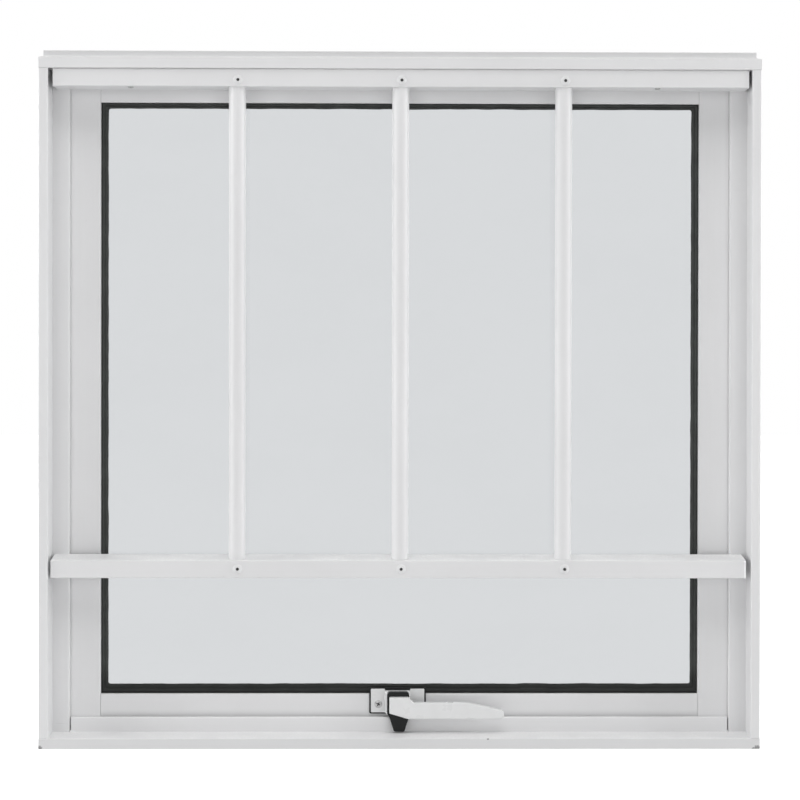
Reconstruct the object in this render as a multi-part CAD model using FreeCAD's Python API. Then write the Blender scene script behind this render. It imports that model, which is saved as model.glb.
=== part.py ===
import FreeCAD, Part
import math
import os

from FreeCAD import Vector

# A top hung awning window in white aluminium, seen from the room.
#
# A fixed frame of four extruded members carries a security grille on its room
# side. Behind the frame's flange hangs the sash, which opens outwards: two full
# height stiles with the rails between them, a glass pane in a channel gasket,
# and a lever handle with a catch on the bottom rail. Two stays join the sash to
# the jambs.
#
# Sizes are in millimetres. X runs along the sill, +Y points outdoors and +Z is up.
# The origin lies in the middle of the face under the sill. A section is drawn in
# two lengths: u, from a member's outer edge towards the glass, and v, the depth
# from the room face of the frame.

# Frame
FRAME_WIDTH = 600.0
LIP_HEIGHT = 573.9
FRAME_DEPTH = 60.0
HEAD_FIN = 9.2
HEAD_SLOPE = 4.5
WALL = 1.4
JAMB_LIP = 7.7
CROSS_LIP = 8.8
SILL_RISE = 1.3
REBATE_DEPTH = 32.0
FLANGE_EDGE = 22.3
RETURN = 4.0
SEAL_GROOVE = 4.8
GROOVE_LEG = 1.2
REAR_BEAD = 3.0
CORNER_GAP = 1.0
EDGE_ROUND = 0.8
FLANGE_ROUND = 1.2

# Sash
STILE_WIDTH = 33.0
HEAD_RAIL_WIDTH = 27.2
FOOT_RAIL_WIDTH = 26.7
SASH_DEPTH = 24.0
SASH_WALL = 1.3
SASH_TO_RETURN = 0.5
POCKET_SIDE = 13.3
POCKET_FOOT = 13.2
POCKET_HEAD = 14.5
OVERLAP = 8.0
GLAZING_SLOT = 12.0
SLOT_SETBACK = 4.0

# Glass and gasket
GLASS_THICK = 4.0
GASKET_SKIN = 2.0
GASKET_SHOW_SIDE = 5.5
GASKET_SHOW_FOOT = 7.4
GASKET_SHOW_HEAD = 4.2

# Seal between the frame's flange and the sash
SEAL_GAP = 0.1

# Grille
GRILLE_RAIL_DEPTH = 26.0
GRILLE_RAIL_HEIGHT = 14.7
GRILLE_RAIL_WALL = 1.2
GRILLE_RAIL_CROWN = 3.1
GRILLE_END_GAP = 3.2
HEAD_RAIL_SHIFT = 0.6
LOW_RAIL_SHIFT = -1.0
GRILLE_HEAD_GAP = 0.1
GRILLE_CLEAR_HEIGHT = 393.6
BAR_DIAMETER = 14.2
BAR_WALL = 1.0
BAR_COUNT = 3
BAR_PITCH = 136.0
BAR_FIT = 0.15
BAR_SEAT_GAP = 0.05

# Stays
STAY_LENGTH = 300.0
STAY_TOP_GAP = 20.0
STAY_WIDTH = 18.0
TRACK_THICK = 2.5
TRACK_SKIN = 0.8
ARM_THICK = 2.0
ARM_WIDTH = 14.0
ARM_GAP = 0.5
LONG_ARM = 250.0
SHORT_ARM = 130.0
PIVOT_RADIUS = 3.0

# Handle
HANDLE_CENTRE_X = -1.7
HANDLE_PLATE_WIDTH = 45.0
HANDLE_PLATE_HEIGHT = 19.7
HANDLE_PLATE_THICK = 1.8
HANDLE_ABOVE_RAIL = 4.5
PLATE_ROUND = 0.6
UNDERLAY_RIM = 1.4
UNDERLAY_HEAD_RIM = 0.8
UNDERLAY_THICK = 1.2
UNDERLAY_ROUND = 1.6
BRIDGE_WIDTH = 18.4
BRIDGE_DROP = 1.4
BRIDGE_TOE = 1.8
BRIDGE_FLARE = 1.5
BRIDGE_RISE = 1.9
BRIDGE_ROUND = 3.0
CATCH_GAP = 0.3
CATCH_WIDTH = 18.5
CATCH_SHIFT = 0.5
CATCH_DROP = 0.2
CATCH_THICK = 6.0
CATCH_ROUND = 2.6
TONGUE_ROOT = 15.8
TONGUE_TIP = 8.8
TONGUE_SHIFT = 0.8
TONGUE_TIP_GAP = 1.0
TONGUE_ROUND = 1.8
LEVER_LENGTH = 96.0
LEVER_THICK = 6.0
LEVER_INSET = 1.8
LEVER_HUB_HEIGHT = 13.4
LEVER_HUB_DROP = 5.3
LEVER_GRIP_HEIGHT = 13.8
LEVER_GRIP_DROP = 4.3
LEVER_SHOULDER = 16.0
LEVER_NOSE = 30.0
LEVER_NOSE_DROP = 6.6
LEVER_ROUND = 0.9
LEVER_CORNER = 1.0
LEVER_TIP_ROUND = 2.6
PIN_RADIUS = 3.0
PIN_FIT = 0.1
PIN_END_GAP = 0.3
HANDLE_SCREW_X = 16.2
LEFT_SCREW_RISE = 6.9
RIGHT_SCREW_RISE = 3.9
HANDLE_SCREW_BORE = 3.8
COUNTERSINK = 6.8

# Places worked out from the sizes
HALF_WIDTH = FRAME_WIDTH / 2
FRAME_TOP = LIP_HEIGHT + HEAD_FIN
HEAD_UNDER = LIP_HEIGHT - CROSS_LIP
ROOM_FACE = -FRAME_DEPTH / 2
STEP = FRAME_DEPTH - REBATE_DEPTH
FLANGE_BACK = STEP + WALL
RETURN_TIP = STEP + RETURN
SASH_FRONT = RETURN_TIP + SASH_TO_RETURN
SASH_BACK = SASH_FRONT + SASH_DEPTH
SASH_HALF = HALF_WIDTH - WALL - POCKET_SIDE
SASH_FOOT = WALL + POCKET_FOOT
SASH_TOP = FRAME_TOP - WALL - POCKET_HEAD
SIGHT_HALF = SASH_HALF - STILE_WIDTH
SIGHT_FOOT = SASH_FOOT + FOOT_RAIL_WIDTH
SIGHT_TOP = SASH_TOP - HEAD_RAIL_WIDTH
SLOT_FRONT = SASH_FRONT + SLOT_SETBACK
GLASS_FRONT = SLOT_FRONT + GASKET_SKIN
SLOT_BACK = GLASS_FRONT + GLASS_THICK + GASKET_SKIN
POCKET_MIDDLE = (FLANGE_BACK + SASH_BACK) / 2
GRILLE_SETBACK = STEP - GRILLE_RAIL_DEPTH
GRILLE_HALF = HALF_WIDTH - JAMB_LIP - GRILLE_END_GAP
HEAD_RAIL_TOP = HEAD_UNDER - GRILLE_HEAD_GAP
HEAD_RAIL_FOOT = HEAD_RAIL_TOP - GRILLE_RAIL_HEIGHT
LOW_RAIL_TOP = HEAD_RAIL_FOOT - GRILLE_CLEAR_HEIGHT
LOW_RAIL_FOOT = LOW_RAIL_TOP - GRILLE_RAIL_HEIGHT
BAR_RADIUS = BAR_DIAMETER / 2
BAR_AXIS = GRILLE_SETBACK + GRILLE_RAIL_WALL + BAR_SEAT_GAP + BAR_RADIUS
BAR_PLACES = [(i - (BAR_COUNT - 1) / 2) * BAR_PITCH for i in range(BAR_COUNT)]
HANDLE_TOP = SIGHT_FOOT + HANDLE_ABOVE_RAIL
HANDLE_FOOT = HANDLE_TOP - HANDLE_PLATE_HEIGHT
HANDLE_SCREWS = [
    (HANDLE_CENTRE_X - HANDLE_SCREW_X, HANDLE_FOOT + LEFT_SCREW_RISE),
    (HANDLE_CENTRE_X + HANDLE_SCREW_X, HANDLE_FOOT + RIGHT_SCREW_RISE),
]
PLATE_BACK = SASH_FRONT - UNDERLAY_THICK
PLATE_FRONT = PLATE_BACK - HANDLE_PLATE_THICK
BRIDGE_FRONT = PLATE_FRONT - BRIDGE_RISE
BRIDGE_TOP = HANDLE_TOP - BRIDGE_DROP
CATCH_BACK = BRIDGE_FRONT - CATCH_GAP
CATCH_FRONT = CATCH_BACK - CATCH_THICK
LEVER_FRONT = CATCH_FRONT - LEVER_THICK
CATCH_CENTRE_X = HANDLE_CENTRE_X + CATCH_SHIFT
LEVER_LEFT = CATCH_CENTRE_X - CATCH_WIDTH / 2 + LEVER_INSET
HUB_TOP = HANDLE_TOP - LEVER_HUB_DROP
PIVOT_Z = HUB_TOP - LEVER_HUB_HEIGHT / 2

X = Vector(1, 0, 0)
Y = Vector(0, 1, 0)
Z = Vector(0, 0, 1)


def depth(v):
    """The Y of a depth behind the room face."""
    return ROOM_FACE + v


def block(x0, x1, v0, v1, z0, z1):
    """A plain block between two X, two depths and two heights."""
    return Part.makeBox(x1 - x0, v1 - v0, z1 - z0, Vector(x0, depth(v0), z0))


def rounded_wire(corners):
    """A closed wire through corners given as (point, radius)."""
    edges = []
    joints = []
    count = len(corners)
    for i, (point, radius) in enumerate(corners):
        before = (corners[i - 1][0] - point).normalize()
        after = (corners[(i + 1) % count][0] - point).normalize()
        if radius <= 0:
            joints.append((point, point, None))
            continue
        half = before.getAngle(after) / 2
        reach = radius / math.tan(half)
        inward = (before + after).normalize()
        crown = point + inward * (radius / math.sin(half) - radius)
        joints.append((point + before * reach, point + after * reach, crown))
    for i, (start, end, crown) in enumerate(joints):
        if crown is not None:
            edges.append(Part.Arc(start, crown, end).toShape())
        following = joints[(i + 1) % count][0]
        edges.append(Part.LineSegment(end, following).toShape())
    return Part.Wire(edges)


def extrusion(outline, chambers, origin, u_axis, run):
    """A drawn section swept along run. Its corners are (u, v) or (u, v, radius)."""
    wires = []
    for corners in [outline] + chambers:
        placed = []
        for u, v, *radius in corners:
            point = origin + u_axis * u + Y * depth(v)
            placed.append((point, radius[0] if radius else 0.0))
        wires.append(rounded_wire(placed))
    face = Part.makeFace(wires, "Part::FaceMakerBullseye")
    return face.extrude(run)


def flange_corners(lip, rise=0.0):
    """The lip, the flange, its return and the seal groove, from the lip to the pocket.

    The lip's inner side runs level with the depth, or climbs by rise towards the flange.
    """
    groove = FLANGE_EDGE - WALL - SEAL_GROOVE
    return [
        (lip, 0, EDGE_ROUND),
        (lip + rise, STEP),
        (FLANGE_EDGE, STEP, FLANGE_ROUND),
        (FLANGE_EDGE, RETURN_TIP),
        (FLANGE_EDGE - WALL, RETURN_TIP),
        (FLANGE_EDGE - WALL, FLANGE_BACK),
        (groove, FLANGE_BACK),
        (groove, RETURN_TIP),
        (groove - GROOVE_LEG, RETURN_TIP),
        (groove - GROOVE_LEG, FLANGE_BACK),
    ]


def outer_wall_corners(edge):
    """The pocket's outer wall and its rear bead, whose outer face lies at u = edge."""
    return [
        (edge + WALL, FLANGE_BACK),
        (edge + WALL, FRAME_DEPTH - WALL),
        (edge + REAR_BEAD, FRAME_DEPTH - WALL),
        (edge + REAR_BEAD, FRAME_DEPTH, EDGE_ROUND / 2),
        (edge, FRAME_DEPTH, EDGE_ROUND / 2),
    ]


def plain_member(lip, rise, origin, u_axis, run):
    """A length of the section that the jambs and the sill share."""
    outline = [(0, 0, EDGE_ROUND)] + flange_corners(lip, rise) + outer_wall_corners(0)
    chamber = [
        (WALL, WALL),
        (lip - WALL + rise * WALL / STEP, WALL),
        (lip - WALL + rise, STEP),
        (WALL, STEP),
    ]
    return extrusion(outline, [chamber], origin, u_axis, run)


def head_member(origin, u_axis, run):
    """The header's section: its lip slopes up to a fin that stands above the jambs."""
    skin = WALL * math.hypot(STEP, HEAD_SLOPE) / STEP
    lip = CROSS_LIP
    outline = [(0, 0, EDGE_ROUND)] + flange_corners(lip) + outer_wall_corners(-HEAD_FIN)
    outline += [
        (-HEAD_FIN, STEP, EDGE_ROUND),
        (-HEAD_SLOPE, STEP, EDGE_ROUND),
    ]
    chamber = [
        (skin - HEAD_SLOPE * WALL / STEP, WALL),
        (lip - WALL, WALL),
        (lip - WALL, STEP),
        (skin - HEAD_SLOPE, STEP),
    ]
    return extrusion(outline, [chamber], origin, u_axis, run)


def flange_notches(z0, z1):
    """What the flange of a cross member loses at its ends, where the jambs' flanges stand."""
    inner = HALF_WIDTH - FLANGE_EDGE - CORNER_GAP
    left = block(-HALF_WIDTH, -inner, STEP, RETURN_TIP, z0, z1)
    right = block(inner, HALF_WIDTH, STEP, RETURN_TIP, z0, z1)
    return [left, right]


def make_sill():
    member = plain_member(CROSS_LIP, SILL_RISE, X * -HALF_WIDTH, Z, X * FRAME_WIDTH)
    return member.cut(flange_notches(CROSS_LIP, FLANGE_EDGE))


def make_header():
    origin = X * -HALF_WIDTH + Z * LIP_HEIGHT
    member = head_member(origin, Z * -1, X * FRAME_WIDTH)
    return member.cut(flange_notches(LIP_HEIGHT - FLANGE_EDGE, HEAD_UNDER))


def sill_wedge():
    """The sloping top of the sill's lip, over the whole width."""
    section = [
        (CROSS_LIP, 0),
        (CROSS_LIP, STEP),
        (CROSS_LIP + SILL_RISE, STEP),
    ]
    return extrusion(section, [], X * -HALF_WIDTH, Z, X * FRAME_WIDTH)


def make_jamb(side):
    """A jamb, side -1 on the left and 1 on the right, coped round the sill and header."""
    origin = X * (side * HALF_WIDTH) + Z * WALL
    member = plain_member(JAMB_LIP, 0.0, origin, X * -side, Z * (FRAME_TOP - 2 * WALL))
    rear = FRAME_DEPTH - WALL
    wide = HALF_WIDTH
    inside = HALF_WIDTH - WALL
    return member.cut(
        [
            sill_wedge(),
            block(-wide, wide, 0, FLANGE_BACK, 0, CROSS_LIP),
            block(-inside, inside, 0, RETURN_TIP, 0, CROSS_LIP),
            block(-wide, wide, rear, FRAME_DEPTH, 0, REAR_BEAD),
            block(-wide, wide, 0, FLANGE_BACK, HEAD_UNDER, FRAME_TOP),
            block(-inside, inside, 0, RETURN_TIP, HEAD_UNDER, FRAME_TOP),
            block(-wide, wide, rear, FRAME_DEPTH, FRAME_TOP - REAR_BEAD, FRAME_TOP),
        ]
    )


def seal_strip(origin, u_axis, run):
    """A seal that fills the flange's groove and meets the sash with a rounded edge."""
    inner = FLANGE_EDGE - WALL - SEAL_GAP
    outer = inner - SEAL_GROOVE + 2 * SEAL_GAP
    nose = (SASH_FRONT - FLANGE_BACK) / 2
    outline = [
        (outer, FLANGE_BACK),
        (inner, FLANGE_BACK),
        (inner, SASH_FRONT, nose),
        (outer, SASH_FRONT, nose),
    ]
    return extrusion(outline, [], origin, u_axis, run)


def make_seals():
    """The four seals, by name."""
    jamb_run = Z * (HEAD_UNDER - CROSS_LIP)
    half = HALF_WIDTH - FLANGE_EDGE - CORNER_GAP
    foot = Vector(-half, 0, 0)
    head = Vector(-half, 0, LIP_HEIGHT)
    return {
        "seal_left": seal_strip(X * -HALF_WIDTH + Z * CROSS_LIP, X, jamb_run),
        "seal_right": seal_strip(X * HALF_WIDTH + Z * CROSS_LIP, X * -1, jamb_run),
        "seal_bottom": seal_strip(foot, Z, X * (2 * half)),
        "seal_top": seal_strip(head, Z * -1, X * (2 * half)),
    }


def sash_member(width, origin, u_axis, run):
    """A length of sash section: a chamber bent round the glazing slot, and a rear overlap."""
    inner = width - GLAZING_SLOT
    t = SASH_WALL
    outline = [
        (0, SASH_FRONT, EDGE_ROUND),
        (width, SASH_FRONT, EDGE_ROUND),
        (width, SLOT_FRONT),
        (inner, SLOT_FRONT),
        (inner, SLOT_BACK),
        (width, SLOT_BACK),
        (width, SASH_BACK, EDGE_ROUND),
        (-OVERLAP, SASH_BACK),
        (-OVERLAP, SASH_BACK - t),
        (0, SASH_BACK - t),
    ]
    chamber = [
        (t, SASH_FRONT + t),
        (width - t, SASH_FRONT + t),
        (width - t, SLOT_FRONT - t),
        (inner - t, SLOT_FRONT - t),
        (inner - t, SLOT_BACK + t),
        (width - t, SLOT_BACK + t),
        (width - t, SASH_BACK - t),
        (t, SASH_BACK - t),
    ]
    return extrusion(outline, [chamber], origin, u_axis, run)


def make_stile(side):
    origin = X * (side * SASH_HALF) + Z * SASH_FOOT
    return sash_member(STILE_WIDTH, origin, X * -side, Z * (SASH_TOP - SASH_FOOT))


def make_sash_rail(width, edge, inward):
    """A rail between the stiles, whose overlap runs on past their ends."""
    origin = Vector(-SIGHT_HALF, 0, edge)
    rail = sash_member(width, origin, Z * inward, X * (2 * SIGHT_HALF))
    reach = SASH_HALF + OVERLAP
    low, high = sorted((edge, edge - inward * OVERLAP))
    flap = block(-reach, reach, SASH_BACK - SASH_WALL, SASH_BACK, low, high)
    return rail.fuse(flap).removeSplitter()


def handle_screw_bores(v0, v1):
    """The holes for the two handle screws between two depths."""
    bores = []
    for x, z in HANDLE_SCREWS:
        centre = Vector(x, depth(v0), z)
        bores.append(Part.makeCylinder(HANDLE_SCREW_BORE / 2, v1 - v0, centre, Y))
    return bores


def make_bottom_rail():
    rail = make_sash_rail(FOOT_RAIL_WIDTH, SASH_FOOT, 1)
    return rail.cut(handle_screw_bores(SASH_FRONT, SASH_FRONT + SASH_WALL))


def make_glass():
    bite = GLAZING_SLOT - GASKET_SKIN
    half = SIGHT_HALF + bite
    back = GLASS_FRONT + GLASS_THICK
    return block(-half, half, GLASS_FRONT, back, SIGHT_FOOT - bite, SIGHT_TOP + bite)


def make_gaskets(glass):
    """Four channel gaskets round the pane, mitred where they meet."""
    out_x = SIGHT_HALF + GLAZING_SLOT
    out_low = SIGHT_FOOT - GLAZING_SLOT
    out_high = SIGHT_TOP + GLAZING_SLOT
    in_x = SIGHT_HALF - GASKET_SHOW_SIDE
    in_low = SIGHT_FOOT + GASKET_SHOW_FOOT
    in_high = SIGHT_TOP - GASKET_SHOW_HEAD
    outer = [(-out_x, out_low), (out_x, out_low), (out_x, out_high), (-out_x, out_high)]
    inner = [(-in_x, in_low), (in_x, in_low), (in_x, in_high), (-in_x, in_high)]
    strips = {}
    for i, name in enumerate(["gasket_bottom", "gasket_right", "gasket_top", "gasket_left"]):
        j = (i + 1) % 4
        ring = [outer[i], outer[j], inner[j], inner[i], outer[i]]
        wire = Part.makePolygon([Vector(x, depth(SLOT_FRONT), z) for x, z in ring])
        strip = Part.Face(wire).extrude(Y * (SLOT_BACK - SLOT_FRONT))
        strips[name] = strip.cut(glass)
    return strips


def grille_rail(foot, crown, shift):
    """A channel, open to the sash, whose top rises by crown from its face to its back.

    Its ends leave unequal gaps at the jambs: shift moves it sideways.
    """
    t = GRILLE_RAIL_WALL
    tall = GRILLE_RAIL_HEIGHT
    front = GRILLE_SETBACK
    outline = [
        (0, front, EDGE_ROUND),
        (tall, front, EDGE_ROUND),
        (tall + crown, STEP),
        (tall + crown - t, STEP),
        (tall - t, front + t),
        (t, front + t),
        (t, STEP),
        (0, STEP),
    ]
    origin = Vector(shift - GRILLE_HALF, 0, foot)
    return extrusion(outline, [], origin, Z, X * (2 * GRILLE_HALF))


def bar_holes(z0, z1):
    """The holes in a grille rail's flange that let the bars through."""
    radius = BAR_RADIUS + BAR_FIT
    holes = []
    for x in BAR_PLACES:
        holes.append(Part.makeCylinder(radius, z1 - z0, Vector(x, depth(BAR_AXIS), z0), Z))
    return holes


def make_head_grille_rail():
    rail = grille_rail(HEAD_RAIL_FOOT, 0.0, HEAD_RAIL_SHIFT)
    return rail.cut(bar_holes(HEAD_RAIL_FOOT, HEAD_RAIL_TOP - GRILLE_RAIL_WALL))


def make_low_grille_rail():
    rail = grille_rail(LOW_RAIL_FOOT, GRILLE_RAIL_CROWN, LOW_RAIL_SHIFT)
    foot = LOW_RAIL_FOOT + GRILLE_RAIL_WALL
    return rail.cut(bar_holes(foot, LOW_RAIL_TOP + GRILLE_RAIL_CROWN))


def make_bar(x):
    """A tube that stands in the lower rail's channel and ends in the head rail's."""
    foot = LOW_RAIL_FOOT + GRILLE_RAIL_WALL
    length = HEAD_RAIL_TOP - GRILLE_RAIL_WALL - foot
    base = Vector(x, depth(BAR_AXIS), foot)
    tube = Part.makeCylinder(BAR_RADIUS, length, base, Z)
    return tube.cut(Part.makeCylinder(BAR_RADIUS - BAR_WALL, length, base, Z))


def pocket_strip(x0, x1, width, z0, z1):
    """A strip of that width in the middle of the pocket beside the sash."""
    return block(x0, x1, POCKET_MIDDLE - width / 2, POCKET_MIDDLE + width / 2, z0, z1)


def flat_arm(x0, x1, z0, z1, width):
    """A flat bar with round ends, standing upright in the pocket beside the sash."""
    radius = width / 2
    web = pocket_strip(x0, x1, width, z0 + radius, z1 - radius)
    ends = []
    for z in (z0 + radius, z1 - radius):
        ends.append(Part.makeCylinder(radius, x1 - x0, Vector(x0, depth(POCKET_MIDDLE), z), X))
    return web.fuse(ends).removeSplitter()


def pivot(x0, x1, z):
    return Part.makeCylinder(PIVOT_RADIUS, x1 - x0, Vector(x0, depth(POCKET_MIDDLE), z), X)


def make_stay(side):
    """One stay, folded: a track on the jamb, a plate on the stile and two arms between them."""
    top = SASH_TOP - STAY_TOP_GAP
    foot = top - STAY_LENGTH
    wall = HALF_WIDTH - WALL
    track_face = wall - TRACK_THICK
    plate_face = SASH_HALF + ARM_THICK
    long_face = plate_face + ARM_GAP
    short_face = long_face + ARM_THICK + ARM_GAP
    groove = STAY_WIDTH - 2 * TRACK_THICK
    track = pocket_strip(track_face, wall, STAY_WIDTH, foot, top)
    track = track.cut(pocket_strip(track_face, wall - TRACK_SKIN, groove, foot, top))
    plate = flat_arm(SASH_HALF, plate_face, foot, top, ARM_WIDTH)
    long_arm = flat_arm(long_face, long_face + ARM_THICK, foot, foot + LONG_ARM, ARM_WIDTH)
    short_foot = foot + ARM_WIDTH
    short_top = short_foot + SHORT_ARM
    short_arm = flat_arm(short_face, short_face + ARM_THICK, short_foot, short_top, ARM_WIDTH)
    inset = ARM_WIDTH / 2
    long_arm = long_arm.fuse(
        [
            pivot(plate_face, long_face, foot + inset),
            pivot(long_face + ARM_THICK, wall - TRACK_SKIN, foot + LONG_ARM - inset),
        ]
    )
    short_arm = short_arm.fuse(
        [
            pivot(long_face + ARM_THICK, short_face, short_foot + inset),
            pivot(short_face + ARM_THICK, wall - TRACK_SKIN, short_top - inset),
        ]
    )
    pieces = {"track": track, "sash_plate": plate, "long_arm": long_arm, "short_arm": short_arm}
    if side > 0:
        return pieces
    return {name: piece.mirror(Vector(), X) for name, piece in pieces.items()}


def outline_wire(points, v):
    """A wire parallel to the glass, from (x, z) or (x, z, radius) corners."""
    corners = []
    for x, z, *radius in points:
        corners.append((Vector(x, depth(v), z), radius[0] if radius else 0.0))
    return rounded_wire(corners)


def slab(points, v0, v1):
    """A flat piece parallel to the glass, between two depths."""
    return Part.Face(outline_wire(points, v0)).extrude(Y * (v1 - v0))


def rectangle(half, foot, top, foot_round, top_round):
    """An upright rectangle about the handle's centre line, with rounded corners."""
    left = HANDLE_CENTRE_X - half
    right = HANDLE_CENTRE_X + half
    return [
        (left, foot, foot_round),
        (right, foot, foot_round),
        (right, top, top_round),
        (left, top, top_round),
    ]


def pin_bore(v0, v1):
    centre = Vector(HANDLE_CENTRE_X, depth(v0), PIVOT_Z)
    return Part.makeCylinder(PIN_RADIUS + PIN_FIT, v1 - v0, centre, Y)


def make_underlay():
    half = HANDLE_PLATE_WIDTH / 2 + UNDERLAY_RIM
    foot = HANDLE_FOOT - UNDERLAY_RIM
    top = HANDLE_TOP + UNDERLAY_HEAD_RIM
    outline = rectangle(half, foot, top, UNDERLAY_ROUND, PLATE_ROUND)
    pad = slab(outline, PLATE_BACK, SASH_FRONT)
    return pad.cut(handle_screw_bores(PLATE_BACK, SASH_FRONT))


def screw_cones():
    """The countersinks of the two handle screws."""
    large = COUNTERSINK / 2
    small = HANDLE_SCREW_BORE / 2
    cones = []
    for x, z in HANDLE_SCREWS:
        mouth = Vector(x, depth(PLATE_FRONT), z)
        cones.append(Part.makeCone(large, small, large - small, mouth, Y))
    return cones


def make_base():
    """The handle's plate, notched at the top over a raised bridge that carries the pin."""
    half = HANDLE_PLATE_WIDTH / 2
    outline = rectangle(half, HANDLE_FOOT, HANDLE_TOP, PLATE_ROUND, PLATE_ROUND)
    plate = slab(outline, PLATE_FRONT, PLATE_BACK)
    notch_half = BRIDGE_WIDTH / 2 + BRIDGE_FLARE
    notch = rectangle(notch_half, BRIDGE_TOP, HANDLE_TOP, 0, 0)
    plate = plate.cut(slab(notch, PLATE_FRONT, PLATE_BACK))
    rings = []
    for v, flare, toe in ((BRIDGE_FRONT, 0.0, BRIDGE_TOE), (PLATE_FRONT, BRIDGE_FLARE, 0.0)):
        half = BRIDGE_WIDTH / 2 + flare
        ring = rectangle(half, HANDLE_FOOT - toe, BRIDGE_TOP, PLATE_ROUND, BRIDGE_ROUND)
        rings.append(outline_wire(ring, v))
    base = plate.fuse(Part.makeLoft(rings, True, True))
    base = base.cut([pin_bore(BRIDGE_FRONT, PLATE_BACK)] + screw_cones())
    return base.cut(handle_screw_bores(PLATE_FRONT, PLATE_BACK))


def make_catch():
    """A nylon catch behind the lever, whose tongue hangs in front of the sill's upstand."""
    half = CATCH_WIDTH / 2
    root = TONGUE_ROOT / 2
    tip = TONGUE_TIP / 2
    top = BRIDGE_TOP - CATCH_DROP
    low = CROSS_LIP + SILL_RISE + TONGUE_TIP_GAP
    body_x = CATCH_CENTRE_X
    tongue_x = body_x + TONGUE_SHIFT
    outline = [
        (body_x - half, top, CATCH_ROUND),
        (body_x - half, HANDLE_FOOT),
        (tongue_x - root, FLANGE_EDGE),
        (tongue_x - tip, low, TONGUE_ROUND),
        (tongue_x + tip, low, TONGUE_ROUND),
        (tongue_x + root, FLANGE_EDGE),
        (body_x + half, HANDLE_FOOT),
        (body_x + half, top, CATCH_ROUND),
    ]
    return slab(outline, CATCH_FRONT, CATCH_BACK).cut(pin_bore(CATCH_FRONT, CATCH_BACK))


def make_pin():
    """The pin that turns in the bridge and carries the catch and the lever."""
    centre = Vector(HANDLE_CENTRE_X, depth(CATCH_FRONT), PIVOT_Z)
    length = PLATE_BACK - PIN_END_GAP - CATCH_FRONT
    return Part.makeCylinder(PIN_RADIUS, length, centre, Y)


def make_lever():
    """The lever: a square hub over the catch and a level grip with a tapered nose."""
    right = LEVER_LEFT + LEVER_LENGTH
    shoulder = LEVER_LEFT + LEVER_SHOULDER
    grip_top = HUB_TOP - LEVER_GRIP_DROP
    grip_foot = grip_top - LEVER_GRIP_HEIGHT
    outline = [
        (LEVER_LEFT, HUB_TOP - LEVER_HUB_HEIGHT, LEVER_CORNER),
        (shoulder, grip_foot, LEVER_SHOULDER / 2),
        (right, grip_foot, LEVER_TIP_ROUND),
        (right, grip_top - LEVER_NOSE_DROP, LEVER_TIP_ROUND),
        (right - LEVER_NOSE, grip_top, LEVER_NOSE),
        (shoulder + LEVER_GRIP_DROP, grip_top, LEVER_GRIP_DROP / 2),
        (shoulder, HUB_TOP, LEVER_CORNER),
        (LEVER_LEFT, HUB_TOP, LEVER_CORNER),
    ]
    lever = slab(outline, LEVER_FRONT, CATCH_FRONT)
    face = depth(LEVER_FRONT)
    rim = [e for e in lever.Edges if abs(e.BoundBox.YMax - face) < 1e-6]
    return lever.makeFillet(LEVER_ROUND, rim)


def make_all():
    """Every piece of the window, by the name of its node."""
    pieces = {
        "sill": make_sill(),
        "header": make_header(),
        "left_jamb": make_jamb(-1),
        "right_jamb": make_jamb(1),
        "sash_left_stile": make_stile(-1),
        "sash_right_stile": make_stile(1),
        "sash_top_rail": make_sash_rail(HEAD_RAIL_WIDTH, SASH_TOP, -1),
        "sash_bottom_rail": make_bottom_rail(),
        "glass_pane": make_glass(),
        "grille_head_rail": make_head_grille_rail(),
        "grille_lower_rail": make_low_grille_rail(),
        "handle_underlay": make_underlay(),
        "handle_base": make_base(),
        "handle_catch": make_catch(),
        "handle_pin": make_pin(),
        "handle_lever": make_lever(),
    }
    pieces.update(make_seals())
    pieces.update(make_gaskets(pieces["glass_pane"]))
    for x, name in zip(BAR_PLACES, ["left", "middle", "right"]):
        pieces[f"grille_bar_{name}"] = make_bar(x)
    for side, name in ((-1, "left"), (1, "right")):
        for piece, solid in make_stay(side).items():
            pieces[f"stay_{piece}_{name}"] = solid
    return pieces


os.makedirs("parts", exist_ok=True)
for node, shape in make_all().items():
    shape.exportStep(f"parts/{node}.step")
    print(f"{node}: {len(shape.Solids)} solids, {shape.Volume:.0f} mm3, valid {shape.isValid()}")
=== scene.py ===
import math

import bmesh
import bpy
from mathutils import Matrix, Vector, noise


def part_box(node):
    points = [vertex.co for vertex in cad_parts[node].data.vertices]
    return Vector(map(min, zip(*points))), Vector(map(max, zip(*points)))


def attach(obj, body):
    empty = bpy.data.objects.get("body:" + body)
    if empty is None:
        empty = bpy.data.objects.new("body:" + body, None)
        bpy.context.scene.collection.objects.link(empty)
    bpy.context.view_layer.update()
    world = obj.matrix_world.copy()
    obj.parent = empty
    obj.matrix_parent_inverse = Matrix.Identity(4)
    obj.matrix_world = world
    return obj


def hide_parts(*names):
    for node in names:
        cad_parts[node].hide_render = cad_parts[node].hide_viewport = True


bl_info = {
    "name": "Awning Window Dressing",
    "version": (1, 0, 0),
    "blender": (4, 5, 0),
    "location": "View3D > Sidebar > Window",
    "description": "Gives the packed awning window its finishes, glazing gasket and fasteners",
    "category": "Object",
}

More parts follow.
